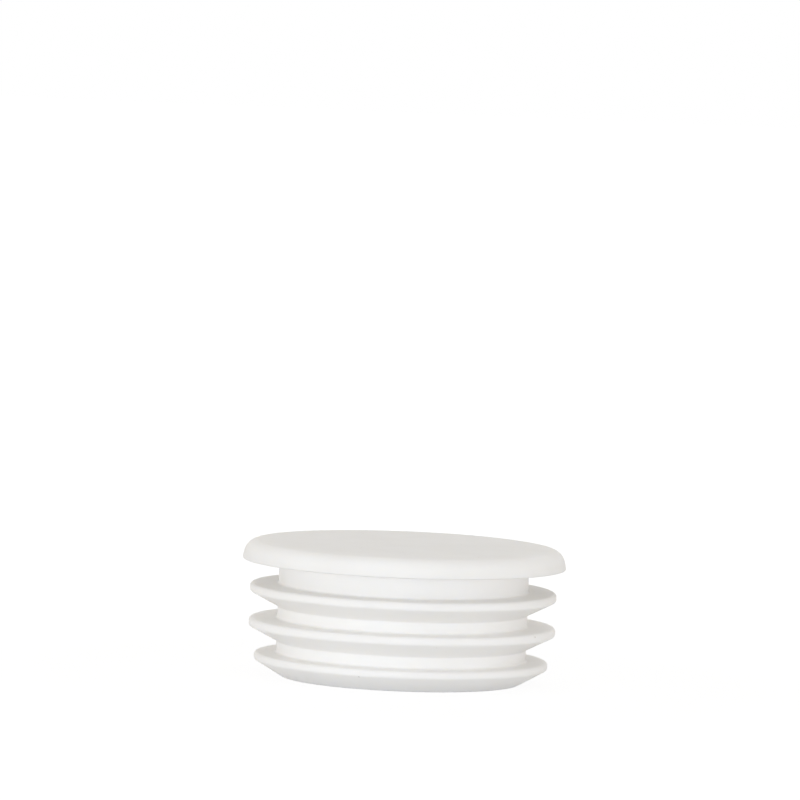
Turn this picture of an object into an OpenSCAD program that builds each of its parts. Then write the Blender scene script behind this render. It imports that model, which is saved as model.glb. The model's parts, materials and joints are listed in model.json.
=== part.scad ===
// Round blanking plug for the end of a tube, moulded in one piece in soft white plastic.
// A flat head with a rounded edge covers the tube's end. Under it hangs a thin-walled
// cup, open at the bottom, with a stack of bendable fins that grip the tube's bore.
// Sizes are in millimetres and angles in degrees. The plug stands on its open end, on Z = 0.

/* [Head] */
// Diameter of the head, the same as the outside of the tube
head_d = 50; // [48:0.5:60]
// Height of the head above the seat that rests on the tube's end
head_h = 2.95; // [2:0.05:6]
// Lean of the head's side, inwards from the seat up
head_lean = 13; // [0:1:25]
// Rounding of the head's upper edge
head_edge_r = 2.2; // [0.5:0.1:5]
// Rounding of the head's lower edge, outside the seat
head_lip_r = 0.2; // [0.1:0.05:0.6]

/* [Cup] */
// Outside diameter of the cup that carries the fins
cup_d = 38.6; // [34:0.1:42]
// Thickness of the cup's wall
wall = 2; // [1:0.1:4]
// Thickness of the closed end, from the top of the head to the floor of the hollow
floor_t = 2.5; // [1.5:0.1:6]
// Rounding between the hollow's wall and its floor
floor_r = 1.5; // [0.3:0.1:4]
// Draft of the hollow's wall, which widens towards the open end
draft = 0.5; // [0:0.1:2]
// Width of the flat rim around the open end
rim_w = 1.1; // [0.5:0.1:1.8]
// Rounding of the rim's edges
rim_r = 0.2; // [0.05:0.05:0.4]

/* [Fins] */
// Number of fins
fin_count = 3; // [2:1:5]
// Diameter over the fins, a little more than the tube's bore
fin_d = 47.4; // [44:0.1:50]
// Diameter over the last fin, which enters the tube first
lead_fin_d = 45.4; // [42:0.1:48]
// Distance from the seat down to the top of the first fin
fin_drop = 3.7; // [2:0.1:8]
// Distance from each fin to the next
fin_pitch = 5.35; // [4.4:0.05:9]
// Height of the blunt edge around a fin
fin_lip_h = 1.25; // [0.6:0.05:2]
// Height of the blunt edge around the last fin
lead_lip_h = 1.1; // [0.6:0.05:2]
// Rounding of the corners of those edges
fin_lip_r = 0.55; // [0.1:0.05:0.8]
// Slope of a fin's underside, up from level
fin_slope = 27; // [15:1:38]
// Slope of the last fin's underside, up from level
lead_slope = 30; // [15:1:45]
// Rounding in the corners where the fins and the seat meet the cup
root_r = 0.3; // [0.1:0.05:0.8]

/* [Gate mark] */
// Diameter of the gate mark in the middle of the hollow's floor
gate_d = 2.4; // [1:0.1:4]
// Height of the gate mark
gate_h = 0.3; // [0.1:0.1:1]
// Rounding of the gate mark's edge
gate_r = 0.15; // [0.05:0.05:0.5]

/* [Hidden] */

// Turn of each straight step along a rounded corner, and steps around the plug
arc_step = 7.5;
turn_steps = 180;

// Radii of the head and cup, and of the hollow and the rim at the open end
head_r = head_d / 2;
cup_r = cup_d / 2;
hollow_r = cup_r - wall;
rim_outer_r = hollow_r + rim_w;

// The last fin's underside runs straight on down to the rim, which ends the plug
last_fin = fin_count - 1;
last_edge_h = (fin_r(last_fin) - rim_outer_r) * tan(lead_slope);
seat_z = fin_drop + last_fin * fin_pitch + lead_lip_h + last_edge_h;
top_z = seat_z + head_h;

// Floor of the hollow, and the hollow's radius there after the draft
floor_z = top_z - floor_t;
floor_edge_r = hollow_r - floor_z * tan(draft);

// Corner under the head before it is rounded, which leaves the head its full diameter,
// and the corner above it where the leaning side meets the flat top
seat_edge_r = head_r + head_lip_r * (tan(head_lean) + 1 / cos(head_lean) - 1);
top_edge_r = seat_edge_r - head_h * tan(head_lean);

// A rounding gives way where the wall that it is on is too low for it
head_round = min(head_edge_r, head_h - 2 * head_lip_r);
rim_round = min(rim_r, rim_w / 2);
gate_round = min(gate_r, gate_h / 2);

// Outer radius of a fin, counted from the seat down, the height of its flat top,
// and the height of its blunt edge with the rounding of that edge's corners
function fin_r(i) = (i == last_fin ? lead_fin_d : fin_d) / 2;
function fin_z(i) = seat_z - fin_drop - i * fin_pitch;
function lip_h(i) = i == last_fin ? lead_lip_h : fin_lip_h;
function lip_round(i) = min(fin_lip_r, lip_h(i) / 2);

// Corners of a fin, each as [radius, height, rounding]: root, blunt edge and foot on the cup
function fin_corners(i) = [
    [cup_r, fin_z(i), root_r],
    [fin_r(i), fin_z(i), lip_round(i)],
    [fin_r(i), fin_z(i) - lip_h(i), lip_round(i)],
    if (i < last_fin)
        [cup_r, fin_z(i) - lip_h(i) - (fin_r(i) - cup_r) * tan(fin_slope), root_r],
];

// Corners of half the plug's section: over the head, down the fins, and up the hollow
section_corners = [
    [0, top_z, 0],
    [top_edge_r, top_z, head_round],
    [seat_edge_r, seat_z, head_lip_r],
    [cup_r, seat_z, root_r],
    for (i = [0 : last_fin]) each fin_corners(i),
    [rim_outer_r, 0, rim_round],
    [hollow_r, 0, rim_round],
    [floor_edge_r, floor_z, floor_r],
    [gate_d / 2, floor_z, 0],
    [gate_d / 2, floor_z - gate_h, gate_round],
    [0, floor_z - gate_h, 0],
];

// Direction from one point to another, as a vector of length 1
function way(a, b) = (b - a) / norm(b - a);

// A vector turned by an angle
function turned(v, angle) = [
    v.x * cos(angle) - v.y * sin(angle),
    v.x * sin(angle) + v.y * cos(angle),
];

// Arc of radius r that rounds corner b between its neighbours a and c, touching both sides
function corner_arc(a, b, c, r) =
    let (
        back = way(b, a),
        on = way(b, c),
        half = acos(back * on) / 2,
        centre = b + (back + on) / norm(back + on) * r / sin(half),
        first = b + back * r / tan(half) - centre,
        turn = sign(cross(on, back)) * (180 - 2 * half),
        steps = ceil(abs(turn) / arc_step)
    )
    r == 0 ? [b] : [for (k = [0 : steps]) centre + turned(first, turn * k / steps)];

// The point of a corner without its rounding
function spot(corner) = [corner.x, corner.y];

// Outline through the corners in order, with each one rounded by its own radius
function rounded(corners) =
    let (n = len(corners))
    [
        for (i = [0 : n - 1])
            each corner_arc(
                spot(corners[(i + n - 1) % n]), spot(corners[i]),
                spot(corners[(i + 1) % n]), corners[i].z
            )
    ];

// The whole plug, its section turned around the axis
module plug() {
    color("whitesmoke")
        rotate_extrude($fn = turn_steps)
            polygon(rounded(section_corners));
}

plug();
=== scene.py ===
"""Dresses a round blanking plug: its moulded skin, its white plastic and the stage it stands on.

Lengths are in metres and angles in degrees unless a name says otherwise.
"""

import json
import logging
import math
from dataclasses import dataclass
from enum import Enum
from typing import Any

import bpy
import numpy as np
from mathutils import Matrix, Vector


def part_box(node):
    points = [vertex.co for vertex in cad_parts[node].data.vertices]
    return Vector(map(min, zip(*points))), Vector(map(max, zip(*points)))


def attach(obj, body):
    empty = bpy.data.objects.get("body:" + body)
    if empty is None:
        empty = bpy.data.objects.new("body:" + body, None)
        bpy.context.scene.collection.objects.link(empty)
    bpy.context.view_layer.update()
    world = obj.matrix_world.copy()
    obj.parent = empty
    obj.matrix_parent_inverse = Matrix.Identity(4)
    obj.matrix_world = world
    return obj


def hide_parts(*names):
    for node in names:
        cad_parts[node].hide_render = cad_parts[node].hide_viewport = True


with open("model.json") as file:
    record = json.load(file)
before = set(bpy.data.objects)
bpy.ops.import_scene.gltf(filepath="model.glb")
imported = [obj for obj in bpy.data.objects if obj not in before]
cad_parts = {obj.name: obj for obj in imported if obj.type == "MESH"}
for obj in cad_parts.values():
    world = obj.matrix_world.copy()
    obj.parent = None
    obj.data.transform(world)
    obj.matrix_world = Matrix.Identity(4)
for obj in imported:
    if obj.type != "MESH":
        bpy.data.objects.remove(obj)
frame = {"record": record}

LOG = logging.getLogger("blanking_plug")
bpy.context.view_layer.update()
# A millimetre, and the width and height of the picture in pixels
MM = 0.001
IMAGE_PX = 800
# The whole span of a share, and the span that holds nearly all values of a noise
SHARE_SPAN = (0.0, 1.0)
NOISE_SPAN = (0.3, 0.7)

Colour = tuple[float, float, float, float]
Tint = tuple[float, float, float]
Span = tuple[float, float]
Sockets = dict[Any, Any]


class Zone(Enum):
    """The moulded skins of the plug, in the order of their material slots."""

    HEAD = 0
    FINS = 1
    HOLLOW = 2


@dataclass(frozen=True)
class Corner:
    """A corner of the plug's half section.

    Attributes:
        r: Distance from the axis.
        z: Height above the open end.
        rounding: Radius of the arc that rounds the corner.
        zone: Skin of the stretch that starts at the corner.
    """

    r: float
    z: float
    rounding: float
    zone: Zone

    def spot(self) -> np.ndarray:
        """The corner's place as radius and height."""
        return np.array([self.r, self.z])


@dataclass(frozen=True)
class PlugSection:
    """Half section of the plug, from the middle of the head round to the middle of the hollow's floor.

    Attributes:
        head_r: Radius of the head.
        top_z: Height of the head's top.
        seat_z: Height of the seat under the head.
        fin_r: Outer radius of the fins.
        head_lean: Lean of the head's side, inwards from the seat up.
        head_edge_r: Rounding of the head's upper edge.
        head_lip_r: Rounding of the head's lower edge.
        cup_r: Outer radius of the cup.
        wall: Thickness of the cup's wall at the open end.
        floor_t: Thickness of the closed end.
        floor_r: Rounding between the hollow's wall and its floor.
        draft: Lean of the hollow's wall, outwards towards the open end.
        rim_w: Width of the flat rim around the open end.
        rim_r: Rounding of the rim's edges.
        fin_count: Number of fins.
        lead_fin_r: Outer radius of the last fin, which enters the tube first.
        fin_drop: Distance from the seat down to the top of the first fin.
        fin_pitch: Distance from each fin to the next.
        fin_lip_h: Height of a fin's blunt edge.
        lead_lip_h: Height of the last fin's blunt edge.
        fin_lip_r: Rounding of the corners of those edges.
        fin_slope: Slope of a fin's underside, up from level.
        root_r: Rounding in the corners where the fins and the seat meet the cup.
        gate_r: Radius of the gate mark in the middle of the hollow's floor.
        gate_h: Height of the gate mark.
        gate_edge_r: Rounding of the gate mark's edge.
        sag: Largest distance of a rounding's chords from its true arc.
        stride: Largest distance between points along a straight stretch.
        hold: Distance of a stretch's outermost points from its ends.
    """

    head_r: float
    top_z: float
    seat_z: float
    fin_r: float
    head_lean: float = 13.0
    head_edge_r: float = 2.2 * MM
    head_lip_r: float = 0.2 * MM
    cup_r: float = 19.3 * MM
    wall: float = 2.0 * MM
    floor_t: float = 2.5 * MM
    floor_r: float = 1.5 * MM
    draft: float = 0.5
    rim_w: float = 1.1 * MM
    rim_r: float = 0.2 * MM
    fin_count: int = 3
    lead_fin_r: float = 22.7 * MM
    fin_drop: float = 3.7 * MM
    fin_pitch: float = 5.35 * MM
    fin_lip_h: float = 1.25 * MM
    lead_lip_h: float = 1.1 * MM
    fin_lip_r: float = 0.55 * MM
    fin_slope: float = 27.0
    root_r: float = 0.3 * MM
    gate_r: float = 1.2 * MM
    gate_h: float = 0.3 * MM
    gate_edge_r: float = 0.15 * MM
    sag: float = 0.0015 * MM
    stride: float = 1.5 * MM
    hold: float = 0.12 * MM

    @classmethod
    def packed(cls) -> "PlugSection":
        """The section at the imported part's own diameter, height, seat and fins.

        Returns:
            The section, with its other sizes as they are named here.
        """
        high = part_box("plug")[1]
        mounts = {m["name"]: m for m in frame["record"]["mounts"]}
        fin_r = mounts["fins"]["dims"]["r_mm"] * MM
        return cls(head_r=high[0], top_z=high[2], seat_z=mounts["seat"]["pos_m"][2], fin_r=fin_r)

    def fin_reach(self, index: int) -> float:
        """Outer radius of a fin, counted from the seat down."""
        return self.lead_fin_r if index == self.fin_count - 1 else self.fin_r

    def fin_top(self, index: int) -> float:
        """Height of a fin's level top, counted from the seat down."""
        return self.seat_z - self.fin_drop - index * self.fin_pitch

    def fin_corners(self, index: int) -> list[Corner]:
        """Corners of one fin: its root, its blunt edge and, but for the last fin, its foot on the cup.

        Args:
            index: The fin's number, from the seat down.

        Returns:
            The corners from the top down.
        """
        last = index == self.fin_count - 1
        reach, top = self.fin_reach(index), self.fin_top(index)
        edge = top - (self.lead_lip_h if last else self.fin_lip_h)
        corners = [
            Corner(self.cup_r, top, self.root_r, Zone.FINS),
            Corner(reach, top, self.fin_lip_r, Zone.FINS),
            Corner(reach, edge, self.fin_lip_r, Zone.FINS),
        ]
        if not last:
            foot = edge - (reach - self.cup_r) * math.tan(math.radians(self.fin_slope))
            corners.append(Corner(self.cup_r, foot, self.root_r, Zone.FINS))
        return corners

    def corners(self) -> list[Corner]:
        """Corners of the whole half section.

        Returns:
            The corners over the head, down the fins and up the hollow.
        """
        lean = math.radians(self.head_lean)
        seat_edge = self.head_r + self.head_lip_r * (math.tan(lean) + 1 / math.cos(lean) - 1)
        top_edge = seat_edge - (self.top_z - self.seat_z) * math.tan(lean)
        hollow_r = self.cup_r - self.wall
        floor_z = self.top_z - self.floor_t
        floor_edge = hollow_r - floor_z * math.tan(math.radians(self.draft))
        return [
            Corner(0.0, self.top_z, 0.0, Zone.HEAD),
            Corner(top_edge, self.top_z, self.head_edge_r, Zone.HEAD),
            Corner(seat_edge, self.seat_z, self.head_lip_r, Zone.FINS),
            Corner(self.cup_r, self.seat_z, self.root_r, Zone.FINS),
            *(corner for i in range(self.fin_count) for corner in self.fin_corners(i)),
            Corner(hollow_r + self.rim_w, 0.0, self.rim_r, Zone.FINS),
            Corner(hollow_r, 0.0, self.rim_r, Zone.HOLLOW),
            Corner(floor_edge, floor_z, self.floor_r, Zone.HOLLOW),
            Corner(self.gate_r, floor_z, 0.0, Zone.HOLLOW),
            Corner(self.gate_r, floor_z - self.gate_h, self.gate_edge_r, Zone.HOLLOW),
            Corner(0.0, floor_z - self.gate_h, 0.0, Zone.HOLLOW),
        ]

    def corner_arc(self, before: Corner, corner: Corner, after: Corner) -> np.ndarray:
        """Points along the arc that rounds a corner and touches both of its sides.

        The arc's centre lies on the corner's bisector, at the rounding over the sine of half the
        corner's angle. Its steps are as long as keeps each chord within the sag of the true arc.

        Args:
            before: The corner ahead of it.
            corner: The corner to round.
            after: The corner behind it.

        Returns:
            Points as rows of radius and height, or the bare corner if it has no rounding.
        """
        here = corner.spot()
        if corner.rounding == 0.0:
            return here[None]
        back, onward = before.spot() - here, after.spot() - here
        back, onward = back / np.linalg.norm(back), onward / np.linalg.norm(onward)
        half = math.acos(float(back @ onward)) / 2
        middle = (back + onward) / np.linalg.norm(back + onward)
        centre = here + middle * corner.rounding / math.sin(half)
        first = here + back * corner.rounding / math.tan(half) - centre
        turn = math.copysign(math.pi - 2 * half, onward[0] * back[1] - onward[1] * back[0])
        step = 2 * math.acos(1 - self.sag / corner.rounding)
        angles = np.linspace(0.0, turn, max(2, math.ceil(abs(turn) / step)) + 1)
        cos, sin = np.cos(angles), np.sin(angles)
        return centre + np.column_stack([first[0] * cos - first[1] * sin, first[0] * sin + first[1] * cos])

    def stretch(self, start: np.ndarray, end: np.ndarray) -> np.ndarray:
        """Points inside a straight stretch: one close to each end, and even strides between them.

        Args:
            start: Point where the stretch starts.
            end: Point where it ends.

        Returns:
            The points between the two, as rows of radius and height.
        """
        length = float(np.linalg.norm(end - start))
        if length < 3 * self.hold:
            return np.empty((0, 2))
        strides = max(1, math.ceil((length - 2 * self.hold) / self.stride))
        along = np.linspace(self.hold, length - self.hold, strides + 1) / length
        return start + (end - start) * along[:, None]

    def outline(self) -> tuple[np.ndarray, np.ndarray]:
        """The rounded half section as a chain of points.

        Returns:
            The points as rows of radius and height, and the zone of the stretch after each point.
        """
        corners = self.corners()
        spots, zones = [corners[0].spot()[None]], [[corners[0].zone.value]]
        for before, corner, after in zip(corners, corners[1:], [*corners[2:], corners[0]]):
            arc = self.corner_arc(before, corner, after)
            run = self.stretch(spots[-1][-1], arc[0])
            early = len(arc) // 2
            spots += [run, arc]
            zones += [[before.zone.value] * (len(run) + early), [corner.zone.value] * (len(arc) - early)]
        return np.concatenate(spots), np.concatenate(zones).astype(np.int32)


@dataclass(frozen=True)
class FinWander:
    """How far the edges of the soft fins stray up and down, as moulded.

    Attributes:
        height: Largest rise or fall of a fin's edge.
        waves: Numbers of waves around the plug that add up to the rise.
        seed: Start of the random phases.
    """

    height: float = 0.05 * MM
    waves: tuple[int, ...] = (2, 3, 5, 9)
    seed: int = 7

    def rise(self, turn: np.ndarray, fins: int) -> np.ndarray:
        """Rise of each fin's edge around the plug.

        It is a sum of cosines of the turn times each number of waves, with smaller shares for the
        shorter waves and phases that differ by fin.

        Args:
            turn: Angles around the axis, in radians.
            fins: Number of fins.

        Returns:
            Rises as one row for each fin and one column for each angle.
        """
        phase = np.random.default_rng(self.seed).uniform(0, 2 * math.pi, (fins, len(self.waves), 1))
        order = np.array(self.waves)[None, :, None]
        share = 1 / order / np.sum(1 / order)
        return self.height * (share * np.cos(order * turn + phase)).sum(axis=1)


class Sheet:
    """A node tree that is being filled in."""

    def __init__(self, tree: bpy.types.NodeTree) -> None:
        """Starts on an empty tree."""
        self.tree = tree
        tree.nodes.clear()

    def add(self, kind: str, inputs: Sockets | None = None, **options: Any) -> bpy.types.Node:
        """Adds a node.

        Args:
            kind: Blender's name for the kind of node.
            inputs: Values for its sockets, or other nodes' sockets to link to them.
            **options: Values for the node's own options.

        Returns:
            The new node.
        """
        node = self.tree.nodes.new(kind)
        for name, value in options.items():
            setattr(node, name, value)
        for name, value in (inputs or {}).items():
            if isinstance(value, bpy.types.NodeSocket):
                self.tree.links.new(value, node.inputs[name])
            else:
                node.inputs[name].default_value = value
        return node

    def maths(self, operation: str, a: Any, b: Any) -> bpy.types.NodeSocket:
        """Adds one step of arithmetic on two values and gives its result."""
        return self.add("ShaderNodeMath", {0: a, 1: b}, operation=operation).outputs[0]

    def noise(self, spot: Any, size: Any, detail: float) -> bpy.types.NodeSocket:
        """Adds a noise with patches of one size and gives its value."""
        density = self.maths("DIVIDE", 1.0, size)
        return self.add("ShaderNodeTexNoise", {"Vector": spot, "Scale": density, "Detail": detail}).outputs["Fac"]

    def spread(self, value: Any, span: Span, to: Span) -> bpy.types.NodeSocket:
        """Adds a smooth change from one span of values to another and gives its result."""
        ends = {"Value": value, "From Min": span[0], "From Max": span[1], "To Min": to[0], "To Max": to[1]}
        return self.add("ShaderNodeMapRange", ends, interpolation_type="SMOOTHSTEP").outputs[0]

    def blend(self, share: Any, a: Any, b: Any) -> bpy.types.NodeSocket:
        """Adds a mix of two colours and gives its result."""
        return self.add("ShaderNodeMix", {0: share, 6: a, 7: b}, data_type="RGBA").outputs[2]

    def seen(self) -> bpy.types.NodeSocket:
        """Adds a value that tells what is looked at from what only gives light.

        Returns:
            The value, 1 for what is seen, reflected or looked through, and 0 for plain light.
        """
        rays = self.add("ShaderNodeLightPath").outputs
        direct = self.maths("MAXIMUM", rays["Is Camera Ray"], rays["Is Glossy Ray"])
        return self.maths("MAXIMUM", direct, rays["Is Transmission Ray"])


@dataclass(frozen=True)
class SurfaceEffect:
    """A surface effect that finishes share, as one node group that is made once.

    Attributes:
        name: The group's name.
        inputs: Names and usual values of its number inputs, after the Vector input.
        outputs: Names of its number outputs.
    """

    name: str = "surface_effect"
    inputs: tuple[tuple[str, float], ...] = ()
    outputs: tuple[str, ...] = ()

    def fill(self, sheet: Sheet, given: bpy.types.NodeOutputs) -> Sockets:
        """Fills in the group's nodes.

        Args:
            sheet: The group's node tree.
            given: The group's inputs, by name.

        Returns:
            The socket for each output.
        """
        raise NotImplementedError

    def group(self) -> bpy.types.NodeTree:
        """The effect's node group, made on first use.

        Returns:
            The node group.
        """
        made = bpy.data.node_groups.get(self.name)
        if made:
            return made
        tree = bpy.data.node_groups.new(self.name, "ShaderNodeTree")
        tree.interface.new_socket("Vector", in_out="INPUT", socket_type="NodeSocketVector")
        for name, value in self.inputs:
            tree.interface.new_socket(name, in_out="INPUT", socket_type="NodeSocketFloat").default_value = value
        for name in self.outputs:
            tree.interface.new_socket(name, in_out="OUTPUT", socket_type="NodeSocketFloat")
        sheet = Sheet(tree)
        given = sheet.add("NodeGroupInput").outputs
        sheet.add("NodeGroupOutput", self.fill(sheet, given))
        return tree

    def place(self, sheet: Sheet, **inputs: Any) -> bpy.types.Node:
        """Places the effect in a material with its own values, and gives the group node."""
        return sheet.add("ShaderNodeGroup", inputs, node_tree=self.group())


@dataclass(frozen=True)
class MouldGrain(SurfaceEffect):
    """Fine grain of the mould's steel, with the uneven gloss that it leaves."""

    name: str = "mould_grain"
    inputs: tuple[tuple[str, float], ...] = (("Size", 0.3 * MM), ("Patch", 4 * MM))
    outputs: tuple[str, ...] = ("Height", "Gloss")

    def fill(self, sheet: Sheet, given: bpy.types.NodeOutputs) -> Sockets:
        """Adds a fine noise for the grain and a broad one for the gloss.

        Args:
            sheet: The group's node tree.
            given: The group's inputs, by name.

        Returns:
            The socket for each output.
        """
        pits = sheet.noise(given["Vector"], given["Size"], detail=3.0)
        gloss = sheet.noise(given["Vector"], given["Patch"], detail=4.0)
        return {"Height": pits, "Gloss": sheet.spread(gloss, NOISE_SPAN, SHARE_SPAN)}


@dataclass(frozen=True)
class CloudyTone(SurfaceEffect):
    """Slow drift of the plastic's tone, as the melt flowed and cooled."""

    name: str = "cloudy_tone"
    inputs: tuple[tuple[str, float], ...] = (("Size", 9 * MM),)
    outputs: tuple[str, ...] = ("Tone",)

    def fill(self, sheet: Sheet, given: bpy.types.NodeOutputs) -> Sockets:
        """Adds one broad noise, drawn out to the whole span from 0 to 1.

        Args:
            sheet: The group's node tree.
            given: The group's inputs, by name.

        Returns:
            The socket for each output.
        """
        clouds = sheet.noise(given["Vector"], given["Size"], detail=2.0)
        return {"Tone": sheet.spread(clouds, NOISE_SPAN, SHARE_SPAN)}


@dataclass(frozen=True)
class DarkSpecks(SurfaceEffect):
    """A few tiny dark specks in the plastic.

    Attributes:
        edge: Shares of a speck's size between which it fades out.
    """

    name: str = "dark_specks"
    inputs: tuple[tuple[str, float], ...] = (("Spacing", 3 * MM), ("Size", 0.2 * MM), ("Rarity", 0.72))
    outputs: tuple[str, ...] = ("Mask",)
    edge: Span = (0.4, 1.0)

    def fill(self, sheet: Sheet, given: bpy.types.NodeOutputs) -> Sockets:
        """Adds scattered cells, and keeps a soft dot in those whose random number is above the rarity.

        Args:
            sheet: The group's node tree.
            given: The group's inputs, by name.

        Returns:
            The socket for each output.
        """
        density = sheet.maths("DIVIDE", 1.0, given["Spacing"])
        cells = sheet.add("ShaderNodeTexVoronoi", {"Vector": given["Vector"], "Scale": density}).outputs
        reach = sheet.maths("MULTIPLY", given["Size"], density)
        dot = sheet.spread(sheet.maths("DIVIDE", cells["Distance"], reach), self.edge, (1.0, 0.0))
        chance = sheet.add("ShaderNodeSeparateColor", {"Color": cells["Color"]}).outputs["Red"]
        kept = sheet.maths("GREATER_THAN", chance, given["Rarity"])
        return {"Mask": sheet.maths("MULTIPLY", dot, kept)}


@dataclass(frozen=True)
class WhitePlastic:
    """Soft white plastic with the skin that one face of the mould gives it; a zone's colours may be set darker as
    painted shade.

    Attributes:
        name: The material's name.
        roughness: Roughness where the skin is glossiest and where it is dullest.
        grain: Size of the mould's grain.
        pit_depth: Depth of the grain.
        light: Colour of the clearest plastic.
        shade: Colour of the greyest plastic.
        speck: Colour of the specks.
        ior: Refractive index of the plastic.
        gloss: Strength of the surface reflection, 0.5 for a bare plastic.
        scatter: Share of the light that goes in and comes out close by.
        scatter_depth: How far that light goes.
        scatter_tint: Shares of that depth for red, green and blue light.
    """

    name: str
    roughness: Span
    grain: float
    pit_depth: float
    light: Colour = (0.966, 0.957, 0.943, 1.0)
    shade: Colour = (0.946, 0.935, 0.918, 1.0)
    speck: Colour = (0.66, 0.64, 0.60, 1.0)
    ior: float = 1.51
    gloss: float = 0.2
    scatter: float = 0.6
    scatter_depth: float = 2.0 * MM
    scatter_tint: Tint = (1.0, 0.95, 0.85)

    def material(self) -> bpy.types.Material:
        """Makes the material.

        Returns:
            The material.
        """
        made = bpy.data.materials.new(self.name)
        made.use_nodes = True
        sheet = Sheet(made.node_tree)
        spot = sheet.add("ShaderNodeTexCoord").outputs["Object"]
        grain = MouldGrain().place(sheet, Vector=spot, Size=self.grain).outputs
        tone = CloudyTone().place(sheet, Vector=spot).outputs["Tone"]
        specks = DarkSpecks().place(sheet, Vector=spot).outputs["Mask"]
        colour = sheet.blend(specks, sheet.blend(tone, self.light, self.shade), self.speck)
        bump = sheet.add("ShaderNodeBump", {"Height": grain["Height"], "Distance": self.pit_depth})
        skin = {
            "Base Color": colour,
            "Roughness": sheet.spread(grain["Gloss"], SHARE_SPAN, self.roughness),
            "Normal": bump.outputs["Normal"],
            "IOR": self.ior,
            "Specular IOR Level": self.gloss,
            "Subsurface Weight": self.scatter,
            "Subsurface Radius": self.scatter_tint,
            "Subsurface Scale": self.scatter_depth,
        }
        shader = sheet.add("ShaderNodeBsdfPrincipled", skin)
        sheet.add("ShaderNodeOutputMaterial", {"Surface": shader.outputs["BSDF"]})
        return made


@dataclass(frozen=True)
class MouldedPlug:
    """The plug itself: one closed skin, turned from its section, in its moulded finishes.

    Attributes:
        section: The half section that is turned around the axis.
        wander: Stray of the fins' edges.
        finishes: The finish of each zone.
        steps: Number of steps around the plug.
    """

    section: PlugSection
    wander: FinWander
    finishes: dict[Zone, WhitePlastic]
    steps: int = 320

    def fin_share(self, spots: np.ndarray) -> np.ndarray:
        """How much each outline point goes with each fin's free edge.

        It is the square of the way out from the cup to the edge, 0 on the cup and 1 at the edge. It is
        also 0 for points above or below the fin.

        Args:
            spots: Outline points as rows of radius and height.

        Returns:
            Shares as one row for each point and one column for each fin.
        """
        s = self.section
        fins = range(s.fin_count)
        top = np.array([s.fin_top(i) for i in fins])
        reach = np.array([s.fin_reach(i) for i in fins])
        out = np.clip((spots[:, :1] - s.cup_r) / (reach - s.cup_r), 0.0, 1.0)
        near = (spots[:, 1:] < top + s.root_r) & (spots[:, 1:] > top - s.fin_pitch + s.root_r)
        return np.where(near, out * out, 0.0)

    def points(self, spots: np.ndarray) -> np.ndarray:
        """Points of the skin: the outline along one side of a grid, the turn around the axis along the other.

        A point is its outline's radius times the cosine and sine of the turn, at its outline's height
        plus the rise of its fin. The outline's two ends lie on the axis and are single points.

        Args:
            spots: Outline points as rows of radius and height.

        Returns:
            Points as rows of x, y and z: all rings in order, then the two ends.
        """
        turn = np.arange(self.steps) * 2 * math.pi / self.steps
        ring = spots[1:-1]
        rise = self.fin_share(ring) @ self.wander.rise(turn, self.section.fin_count)
        grid = np.stack([ring[:, :1] * np.cos(turn), ring[:, :1] * np.sin(turn), ring[:, 1:] + rise], axis=-1)
        ends = np.array([[0.0, 0.0, spots[0, 1]], [0.0, 0.0, spots[-1, 1]]])
        return np.concatenate([grid.reshape(-1, 3), ends])

    def faces(self, rings: int) -> tuple[np.ndarray, np.ndarray]:
        """Corner numbers of the skin's faces, which all point outwards.

        Args:
            rings: Number of rings of points.

        Returns:
            Four-sided faces between the rings, and three-sided ones around both ends.
        """
        around = np.arange(self.steps)
        beside = (around + 1) % self.steps
        row = np.arange(rings - 1)[:, None] * self.steps
        low = row + self.steps
        quads = np.stack([row + around, low + around, low + beside, row + beside], axis=-1).reshape(-1, 4)
        last, top = (rings - 1) * self.steps, rings * self.steps
        crown = np.column_stack([np.full(self.steps, top), around, beside])
        pip = np.column_stack([np.full(self.steps, top + 1), last + beside, last + around])
        return quads, np.concatenate([crown, pip])

    def build(self) -> bpy.types.Object:
        """Makes the skin and lets it stand for the solid.

        Returns:
            The plug's object.
        """
        spots, zones = self.section.outline()
        quads, fans = self.faces(len(spots) - 2)
        mesh = bpy.data.meshes.new("plug_skin")
        mesh.from_pydata(self.points(spots), [], [*quads.tolist(), *fans.tolist()])
        # The faces between the rings come first, then those around the top end and the bottom end
        slots = np.repeat(np.concatenate([zones[1:-2], zones[:1], zones[-2:-1]]), self.steps)
        mesh.polygons.foreach_set("material_index", slots)
        mesh.shade_smooth()
        mesh.update()
        plug = bpy.data.objects.new("plug_skin", mesh)
        bpy.context.scene.collection.objects.link(plug)
        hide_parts("plug")
        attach(plug, "root")
        return plug

    def dress(self, plug: bpy.types.Object) -> None:
        """Gives each zone of the skin its own finish."""
        for zone in Zone:
            plug.data.materials.append(self.finishes[zone].material())


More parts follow.
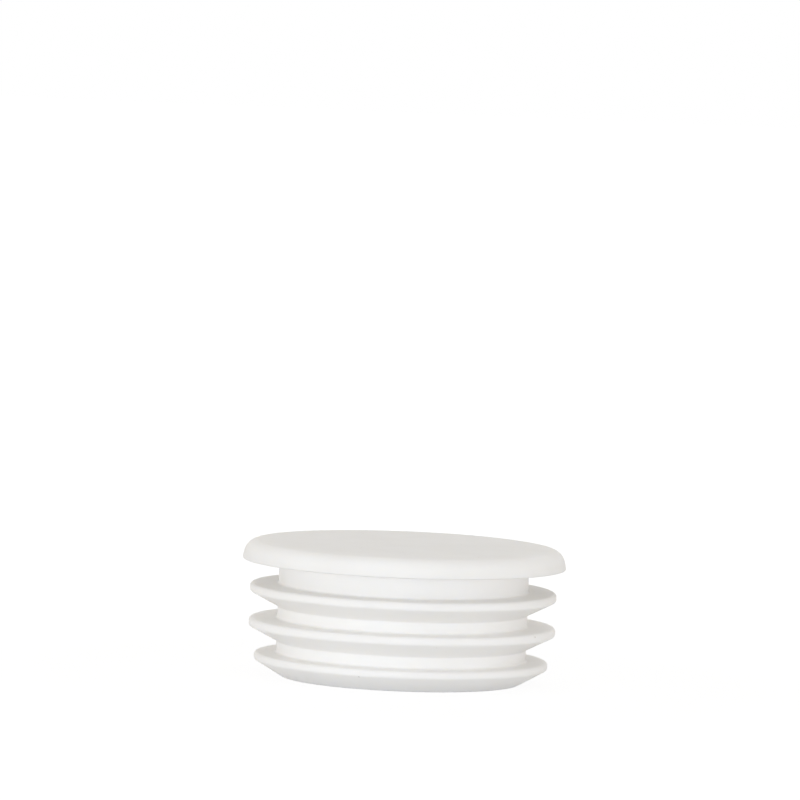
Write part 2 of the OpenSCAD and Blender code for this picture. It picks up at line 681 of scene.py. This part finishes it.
@dataclass(frozen=True)
class PaleFloor:
    """White paper floor that stays white to the eye, and takes the plug's soft shadow.

    Attributes:
        colour: The paper's colour.
        glow: Brightness that the paper shows by itself.
        lift: Share of that glow that lights the plug.
        shadow: Share of the real light and shade that shows near the plug.
        fade: Distances from the plug between which the shade fades out.
        half: Half the floor's width.
        drop: Depth of the floor under the plug.
    """

    colour: Colour = (0.82, 0.82, 0.82, 1.0)
    glow: float = 1.08
    lift: float = 0.1
    shadow: float = 0.15
    fade: Span = (0.05, 0.14)
    half: float = 1.5
    drop: float = 0.02 * MM

    def material(self) -> bpy.types.Material:
        """Makes the paper.

        Returns:
            The material.
        """
        made = bpy.data.materials.new("floor_paper")
        made.use_nodes = True
        sheet = Sheet(made.node_tree)
        spot = sheet.add("ShaderNodeTexCoord").outputs["Object"]
        away = sheet.add("ShaderNodeVectorMath", {0: spot}, operation="LENGTH").outputs["Value"]
        bright = sheet.maths("MAXIMUM", sheet.seen(), self.lift)
        share = sheet.maths("MULTIPLY", bright, sheet.spread(away, self.fade, (1.0 - self.shadow, 1.0)))
        paper = sheet.add("ShaderNodeBsdfDiffuse", {"Color": self.colour}).outputs[0]
        white = sheet.add("ShaderNodeEmission", {"Strength": self.glow}).outputs[0]
        shown = sheet.add("ShaderNodeMixShader", {0: share, 1: paper, 2: white}).outputs[0]
        below = sheet.add("ShaderNodeNewGeometry").outputs["Backfacing"]
        clear = sheet.add("ShaderNodeBsdfTransparent").outputs[0]
        both = sheet.add("ShaderNodeMixShader", {0: below, 1: shown, 2: clear}).outputs[0]
        sheet.add("ShaderNodeOutputMaterial", {"Surface": both})
        return made

    def build(self) -> bpy.types.Object:
        """Lays the floor under the plug.

        Returns:
            The floor's object.
        """
        side = np.array([-self.half, self.half])
        x, y = np.meshgrid(side, side)
        points = np.column_stack([x.ravel(), y.ravel(), np.full(4, -self.drop)])
        mesh = bpy.data.meshes.new("floor")
        mesh.from_pydata(points, [], [(0, 1, 3, 2)])
        mesh.materials.append(self.material())
        floor = bpy.data.objects.new("floor", mesh)
        bpy.context.scene.collection.objects.link(floor)
        return floor


@dataclass(frozen=True)
class SoftLamp:
    """A soft rectangular lamp that points at the plug.

    Attributes:
        name: The lamp's name.
        azimuth: Its side, 0 in front and positive to the right.
        elevation: Its height above the plug, as an angle.
        size: Its width and height.
        level: How bright it alone makes a white surface that faces it.
        tint: Colour of its light.
        distance: Its distance from the plug.
    """

    name: str
    azimuth: float
    elevation: float
    size: tuple[float, float]
    level: float
    tint: Tint
    distance: float = 1.2

    def build(self) -> bpy.types.Object:
        """Hangs the lamp.

        Returns:
            The lamp's object.
        """
        a, e = math.radians(self.azimuth), math.radians(self.elevation)
        way = Vector((math.sin(a) * math.cos(e), -math.cos(a) * math.cos(e), math.sin(e)))
        light = bpy.data.lights.new(self.name, "AREA")
        light.shape = "RECTANGLE"
        light.size, light.size_y = self.size
        light.color = self.tint
        light.energy = self.level * (math.pi * self.distance) ** 2
        lamp = bpy.data.objects.new(self.name, light)
        lamp.matrix_world = Matrix.LocRotScale(way * self.distance, way.to_track_quat("Z", "Y"), None)
        lamp.visible_camera = False
        bpy.context.scene.collection.objects.link(lamp)
        return lamp


@dataclass(frozen=True)
class Studio:
    """The light and the stage around the plug.

    Attributes:
        floor: The floor.
        lamps: The lamps.
        ambient: Brightness of the even light from all around.
        warmth: Colour of that light.
    """

    floor: PaleFloor
    lamps: tuple[SoftLamp, ...]
    ambient: float
    warmth: Tint = (1.0, 0.965, 0.905)

    def build(self) -> None:
        """Lays the floor, hangs the lamps and sets the even light and the plain view."""
        self.floor.build()
        for lamp in self.lamps:
            lamp.build()
        world = bpy.data.worlds.new("studio")
        world.use_nodes = True
        sheet = Sheet(world.node_tree)
        even = sheet.add("ShaderNodeBackground", {"Color": (*self.warmth, 1.0), "Strength": self.ambient})
        white = sheet.add("ShaderNodeBackground", {"Color": (1.0, 1.0, 1.0, 1.0), "Strength": 1.0})
        both = {0: sheet.seen(), 1: even.outputs[0], 2: white.outputs[0]}
        shown = sheet.add("ShaderNodeMixShader", both)
        sheet.add("ShaderNodeOutputWorld", {"Surface": shown.outputs[0]})
        bpy.context.scene.world = world
        bpy.context.scene.view_settings.view_transform = "Standard"


@dataclass(frozen=True)
class LongCamera:
    """A long-lens camera that sees the plug as the photograph does.

    Attributes:
        elevation: Angle at which it looks down on the plug.
        roll: Turn of the picture, clockwise.
        pixel: Length of a pixel at the plug.
        aim_z: Height of the point on the axis that it places.
        aim_px: Pixel of that point, from the left and from the top.
        distance: Distance to the plug.
        sensor: Width of the sensor, in millimetres.
    """

    elevation: float = 5.54
    roll: float = 2.3
    pixel: float = 0.15449 * MM
    aim_z: float = 10.77 * MM
    aim_px: tuple[float, float] = (402.55, 609.94)
    distance: float = 2.0
    sensor: float = 36.0

    def build(self) -> bpy.types.Object:
        """Sets the camera up and makes it the scene's own.

        Returns:
            The camera's object.
        """
        aside = (self.aim_px[0] - IMAGE_PX / 2) * self.pixel
        above = (IMAGE_PX / 2 - self.aim_px[1]) * self.pixel
        tilt = math.radians(self.elevation) + math.atan(above / self.distance)
        roll = math.radians(self.roll)
        right = Vector((1.0, 0.0, 0.0))
        up = Vector((0.0, math.sin(tilt), math.cos(tilt)))
        back = Vector((0.0, -math.cos(tilt), math.sin(tilt)))
        x = right * math.cos(roll) + up * math.sin(roll)
        y = up * math.cos(roll) - right * math.sin(roll)
        place = Vector((0.0, 0.0, self.aim_z)) - x * aside - y * above + back * self.distance
        data = bpy.data.cameras.new("camera")
        data.sensor_width = self.sensor
        data.lens = self.sensor * self.distance / (IMAGE_PX * self.pixel)
        camera = bpy.data.objects.new("camera", data)
        camera.matrix_world = Matrix.Translation(place) @ Matrix((x, y, back)).transposed().to_4x4()
        bpy.context.scene.collection.objects.link(camera)
        bpy.context.scene.camera = camera
        return camera


def main() -> None:
    """Sets up the camera and the studio, builds and dresses the plug, and logs its face count."""
    LongCamera().build()
    lamps = (
        SoftLamp("front", azimuth=0, elevation=5.5, size=(0.3, 0.06), level=0.312, tint=(0.86, 0.923, 1.0)),
        SoftLamp("left", azimuth=-70, elevation=4.5, size=(0.8, 0.19), level=0.236, tint=(1.0, 0.98, 0.955)),
        SoftLamp("right", azimuth=65, elevation=4.5, size=(0.8, 0.19), level=0.16, tint=(1.0, 0.94, 0.88)),
        SoftLamp("top", azimuth=0, elevation=85, size=(0.8, 0.8), level=0.151, tint=(0.915, 0.945, 1.0)),
        SoftLamp("back", azimuth=180, elevation=40, size=(0.8, 0.8), level=0.075, tint=(1.0, 0.94, 0.84)),
    )
    Studio(PaleFloor(), lamps, ambient=0.475).build()
    finishes = {
        # The head is the same plastic as the fins, but its colours are set darker: painted shade that tones down
        # how bright the lamps make its top and side.
        Zone.HEAD: WhitePlastic(
            "head_plastic",
            roughness=(0.46, 0.54),
            grain=0.25 * MM,
            pit_depth=0.003 * MM,
            light=(0.914, 0.910, 0.903, 1.0),
            shade=(0.896, 0.890, 0.881, 1.0),
        ),
        Zone.FINS: WhitePlastic("fin_plastic", roughness=(0.42, 0.52), grain=0.35 * MM, pit_depth=0.003 * MM),
        Zone.HOLLOW: WhitePlastic("hollow_plastic", roughness=(0.5, 0.6), grain=0.3 * MM, pit_depth=0.005 * MM),
    }
    plug = MouldedPlug(PlugSection.packed(), FinWander(), finishes)
    skin = plug.build()
    plug.dress(skin)
    LOG.info("%s: %d faces in %d finishes", skin.name, len(skin.data.polygons), len(finishes))


if __name__ == "__main__":
    logging.basicConfig(level=logging.INFO, format="%(name)s: %(message)s")
    main()
